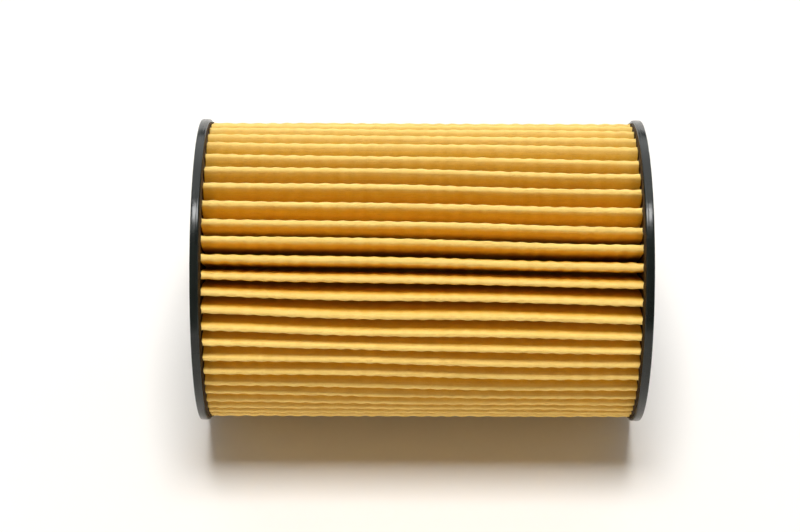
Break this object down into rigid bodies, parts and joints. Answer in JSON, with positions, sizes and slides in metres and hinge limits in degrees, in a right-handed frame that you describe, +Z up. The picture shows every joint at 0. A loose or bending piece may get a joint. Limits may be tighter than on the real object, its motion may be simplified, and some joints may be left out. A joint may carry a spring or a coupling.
{
  "type": "cartridge oil filter element",
  "caption": "Cartridge oil filter element: pleated paper ring bonded between two black moulded end caps, over a windowed support tube with rubber lip seals in its bore.",
  "frame": {"origin": "middle of the element's axis, halfway between its two end planes", "axes": "+X along the axis towards the right end cap, +Z up with the element lying on its side, +Y away from a viewer who looks along the ground at its side"},
  "size_m": [0.1044, 0.0718, 0.0718],
  "materials": {
    "cap_plastic": "satin moulded black nylon with fine flow lines",
    "tube_plastic": "satin moulded black nylon",
    "seal_rubber": "matte black elastomer",
    "filter_paper": "resin-cured yellow filter paper, corrugated, with fine fibres",
    "potting_adhesive": "dark brown cured adhesive",
    "seam_adhesive": "straw-coloured hot melt"
  },
  "bodies": {
    "root": {"end_cap_left": "cap_plastic", "end_cap_right": "cap_plastic", "lip_seal_left": "seal_rubber", "lip_seal_right": "seal_rubber", "potting_ring_left": "potting_adhesive", "potting_ring_right": "potting_adhesive", "support_tube": "tube_plastic", "pleated_media": "filter_paper", "seam_bond": "seam_adhesive"}
  },
  "joints": []
}
